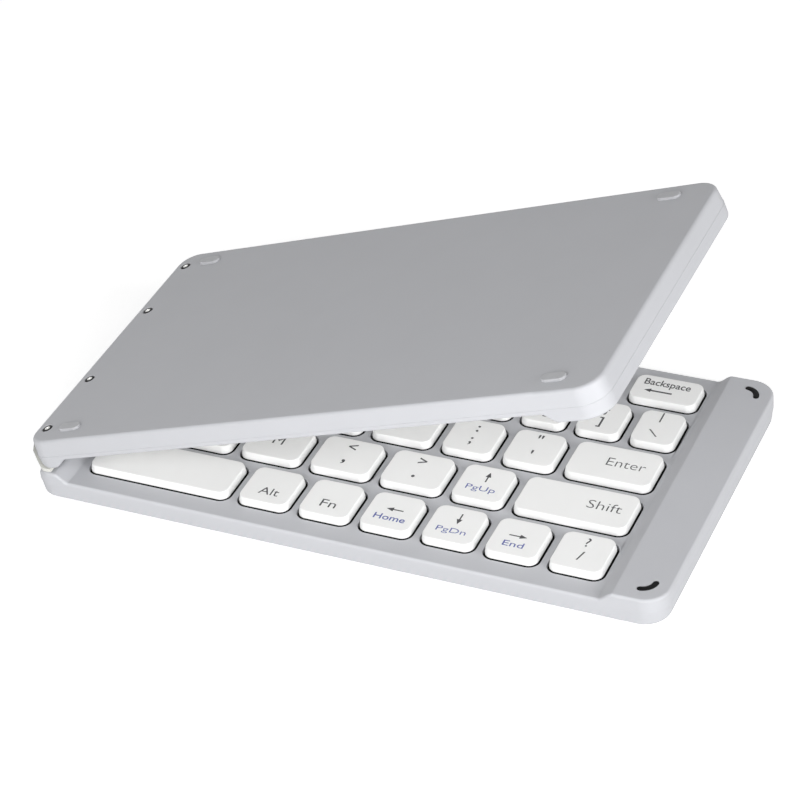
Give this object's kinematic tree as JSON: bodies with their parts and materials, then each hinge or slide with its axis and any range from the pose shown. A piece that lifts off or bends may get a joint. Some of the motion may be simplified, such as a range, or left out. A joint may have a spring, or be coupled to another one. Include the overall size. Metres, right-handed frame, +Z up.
{
  "type": "folding keyboard",
  "caption": "Thin pocket keyboard in two clamshell halves with low white keys, a two-rod link hinge on one short edge, raised end rails and rubber bumpers.",
  "frame": {"origin": "centre of the bounding box at the level of the feet, lid part open as drawn", "axes": "+X from the hinge end to the free end of the base half, +Y from the front (space bar side) to the back, +Z up"},
  "size_m": [0.156, 0.0826, 0.0627],
  "materials": {
    "casing": "satin silver-grey paint over plastic",
    "deck": "satin grey moulded plastic",
    "keycap": "fine matt, near white",
    "hinge_cap": "cream, satin",
    "bumper": "black, satin",
    "foot": "pale grey, soft",
    "screw": "plated",
    "steel": "pressed sheet and drawn rod",
    "bracket": "die cast",
    "dome_rubber": "grey silicone rubber",
    "board": "green solder mask",
    "port": "tinned steel shell",
    "switch": "dark grey, fine matt",
    "light": "clear green-white lens",
    "ribbon": "amber film",
    "battery": "foil pouch",
    "magnet": "nickel plate"
  },
  "bodies": {
    "base": {"base_back_shell": "casing", "base_deck": "deck", "base_key_plate": "steel", "base_dome_sheet": "dome_rubber", "base_hinge_brackets": "bracket", "base_screws": "screw", "base_feet": "foot", "base_bumpers": "bumper", "base_magnets": "magnet", "circuit_board": "board", "charging_port": "port", "switch_housing": "switch", "status_light": "light"},
    "hinge_links": {"hinge_links": "bracket", "hinge_rods": "steel", "ribbon_cable": "ribbon"},
    "lid": {"lid_back_shell": "casing", "lid_deck": "deck", "lid_key_plate": "steel", "lid_dome_sheet": "dome_rubber", "lid_hinge_brackets": "bracket", "lid_hinge_caps": "hinge_cap", "lid_screws": "screw", "lid_feet": "foot", "lid_bumpers": "bumper", "lid_magnets": "magnet", "battery": "battery"},
    "power_switch": {"power_switch": "switch"},
    "key_slash": {"key_slash": "keycap"},
    "key_end": {"key_end": "keycap"},
    "key_page_down": {"key_page_down": "keycap"},
    "key_home": {"key_home": "keycap"},
    "key_fn": {"key_fn": "keycap"},
    "key_alt": {"key_alt": "keycap"},
    "key_space": {"key_space": "keycap"},
    "key_shift": {"key_shift": "keycap"},
    "key_page_up": {"key_page_up": "keycap"},
    "key_dot": {"key_dot": "keycap"},
    "key_comma": {"key_comma": "keycap"},
    "key_m": {"key_m": "keycap"},
    "right_keys_row_4": {"right_keys_row_4": "keycap"},
    "key_enter": {"key_enter": "keycap"},
    "key_quote": {"key_quote": "keycap"},
    "key_semicolon": {"key_semicolon": "keycap"},
    "key_l": {"key_l": "keycap"},
    "right_keys_row_3": {"right_keys_row_3": "keycap"},
    "key_backslash": {"key_backslash": "keycap"},
    "key_right_bracket": {"key_right_bracket": "keycap"},
    "key_left_bracket": {"key_left_bracket": "keycap"},
    "right_keys_row_2": {"right_keys_row_2": "keycap"},
    "key_backspace": {"key_backspace": "keycap"},
    "key_equals": {"key_equals": "keycap"},
    "right_keys_row_1": {"right_keys_row_1": "keycap"},
    "left_keys_row_5": {"left_keys_row_5": "keycap"},
    "left_keys_row_4": {"left_keys_row_4": "keycap"},
    "left_keys_row_3": {"left_keys_row_3": "keycap"},
    "left_keys_row_2": {"left_keys_row_2": "keycap"},
    "left_keys_row_1": {"left_keys_row_1": "keycap"}
  },
  "joints": [
    {"name": "base_fold", "type": "hinge", "parent": "base", "child": "hinge_links", "pos_m": [-0.07308, 0, 0.0037], "axis": [0, -1, 0], "range_deg": [0, 90]},
    {"name": "lid_fold", "type": "hinge", "parent": "hinge_links", "child": "lid", "pos_m": [-0.07308, 0, 0.0131], "axis": [0, -1, 0], "range_deg": [-18.4, 71.6]},
    {"name": "power_slide", "type": "slide", "parent": "base", "child": "power_switch", "axis": [1, 0, 0], "range_m": [0, 0.0025]},
    {"name": "key_slash_press", "type": "slide", "parent": "base", "child": "key_slash", "axis": [0, 0, -1], "range_m": [0, 0.0015], "stiffness_N_per_m": 200, "springref_m": -0.001},
    {"name": "key_end_press", "type": "slide", "parent": "base", "child": "key_end", "axis": [0, 0, -1], "range_m": [0, 0.0015], "stiffness_N_per_m": 200, "springref_m": -0.001},
    {"name": "key_page_down_press", "type": "slide", "parent": "base", "child": "key_page_down", "axis": [0, 0, -1], "range_m": [0, 0.0015], "stiffness_N_per_m": 200, "springref_m": -0.001},
    {"name": "key_home_press", "type": "slide", "parent": "base", "child": "key_home", "axis": [0, 0, -1], "range_m": [0, 0.0015], "stiffness_N_per_m": 200, "springref_m": -0.001},
    {"name": "key_fn_press", "type": "slide", "parent": "base", "child": "key_fn", "axis": [0, 0, -1], "range_m": [0, 0.0015], "stiffness_N_per_m": 200, "springref_m": -0.001},
    {"name": "key_alt_press", "type": "slide", "parent": "base", "child": "key_alt", "axis": [0, 0, -1], "range_m": [0, 0.0015], "stiffness_N_per_m": 200, "springref_m": -0.001},
    {"name": "key_space_press", "type": "slide", "parent": "base", "child": "key_space", "axis": [0, 0, -1], "range_m": [0, 0.0015], "stiffness_N_per_m": 200, "springref_m": -0.001},
    {"name": "key_shift_press", "type": "slide", "parent": "base", "child": "key_shift", "axis": [0, 0, -1], "range_m": [0, 0.0015], "stiffness_N_per_m": 200, "springref_m": -0.001},
    {"name": "key_page_up_press", "type": "slide", "parent": "base", "child": "key_page_up", "axis": [0, 0, -1], "range_m": [0, 0.0015], "stiffness_N_per_m": 200, "springref_m": -0.001},
    {"name": "key_dot_press", "type": "slide", "parent": "base", "child": "key_dot", "axis": [0, 0, -1], "range_m": [0, 0.0015], "stiffness_N_per_m": 200, "springref_m": -0.001},
    {"name": "key_comma_press", "type": "slide", "parent": "base", "child": "key_comma", "axis": [0, 0, -1], "range_m": [0, 0.0015], "stiffness_N_per_m": 200, "springref_m": -0.001},
    {"name": "key_m_press", "type": "slide", "parent": "base", "child": "key_m", "axis": [0, 0, -1], "range_m": [0, 0.0015], "stiffness_N_per_m": 200, "springref_m": -0.001},
    {"name": "right_keys_row_4_press", "type": "slide", "parent": "base", "child": "right_keys_row_4", "axis": [0, 0, -1], "range_m": [0, 0.0015], "stiffness_N_per_m": 200, "springref_m": -0.001},
    {"name": "key_enter_press", "type": "slide", "parent": "base", "child": "key_enter", "axis": [0, 0, -1], "range_m": [0, 0.0015], "stiffness_N_per_m": 200, "springref_m": -0.001},
    {"name": "key_quote_press", "type": "slide", "parent": "base", "child": "key_quote", "axis": [0, 0, -1], "range_m": [0, 0.0015], "stiffness_N_per_m": 200, "springref_m": -0.001},
    {"name": "key_semicolon_press", "type": "slide", "parent": "base", "child": "key_semicolon", "axis": [0, 0, -1], "range_m": [0, 0.0015], "stiffness_N_per_m": 200, "springref_m": -0.001},
    {"name": "key_l_press", "type": "slide", "parent": "base", "child": "key_l", "axis": [0, 0, -1], "range_m": [0, 0.0015], "stiffness_N_per_m": 200, "springref_m": -0.001},
    {"name": "right_keys_row_3_press", "type": "slide", "parent": "base", "child": "right_keys_row_3", "axis": [0, 0, -1], "range_m": [0, 0.0015], "stiffness_N_per_m": 200, "springref_m": -0.001},
    {"name": "key_backslash_press", "type": "slide", "parent": "base", "child": "key_backslash", "axis": [0, 0, -1], "range_m": [0, 0.0015], "stiffness_N_per_m": 200, "springref_m": -0.001},
    {"name": "key_right_bracket_press", "type": "slide", "parent": "base", "child": "key_right_bracket", "axis": [0, 0, -1], "range_m": [0, 0.0015], "stiffness_N_per_m": 200, "springref_m": -0.001},
    {"name": "key_left_bracket_press", "type": "slide", "parent": "base", "child": "key_left_bracket", "axis": [0, 0, -1], "range_m": [0, 0.0015], "stiffness_N_per_m": 200, "springref_m": -0.001},
    {"name": "right_keys_row_2_press", "type": "slide", "parent": "base", "child": "right_keys_row_2", "axis": [0, 0, -1], "range_m": [0, 0.0015], "stiffness_N_per_m": 200, "springref_m": -0.001},
    {"name": "key_backspace_press", "type": "slide", "parent": "base", "child": "key_backspace", "axis": [0, 0, -1], "range_m": [0, 0.0015], "stiffness_N_per_m": 200, "springref_m": -0.001},
    {"name": "key_equals_press", "type": "slide", "parent": "base", "child": "key_equals", "axis": [0, 0, -1], "range_m": [0, 0.0015], "stiffness_N_per_m": 200, "springref_m": -0.001},
    {"name": "right_keys_row_1_press", "type": "slide", "parent": "base", "child": "right_keys_row_1", "axis": [0, 0, -1], "range_m": [0, 0.0015], "stiffness_N_per_m": 200, "springref_m": -0.001},
    {"name": "left_keys_row_5_press", "type": "slide", "parent": "lid", "child": "left_keys_row_5", "axis": [-0.3156, 0, 0.9489], "range_m": [0, 0.0015], "stiffness_N_per_m": 200, "springref_m": -0.001},
    {"name": "left_keys_row_4_press", "type": "slide", "parent": "lid", "child": "left_keys_row_4", "axis": [-0.3156, 0, 0.9489], "range_m": [0, 0.0015], "stiffness_N_per_m": 200, "springref_m": -0.001},
    {"name": "left_keys_row_3_press", "type": "slide", "parent": "lid", "child": "left_keys_row_3", "axis": [-0.3156, 0, 0.9489], "range_m": [0, 0.0015], "stiffness_N_per_m": 200, "springref_m": -0.001},
    {"name": "left_keys_row_2_press", "type": "slide", "parent": "lid", "child": "left_keys_row_2", "axis": [-0.3156, 0, 0.9489], "range_m": [0, 0.0015], "stiffness_N_per_m": 200, "springref_m": -0.001},
    {"name": "left_keys_row_1_press", "type": "slide", "parent": "lid", "child": "left_keys_row_1", "axis": [-0.3156, 0, 0.9489], "range_m": [0, 0.0015], "stiffness_N_per_m": 200, "springref_m": -0.001}
  ]
}
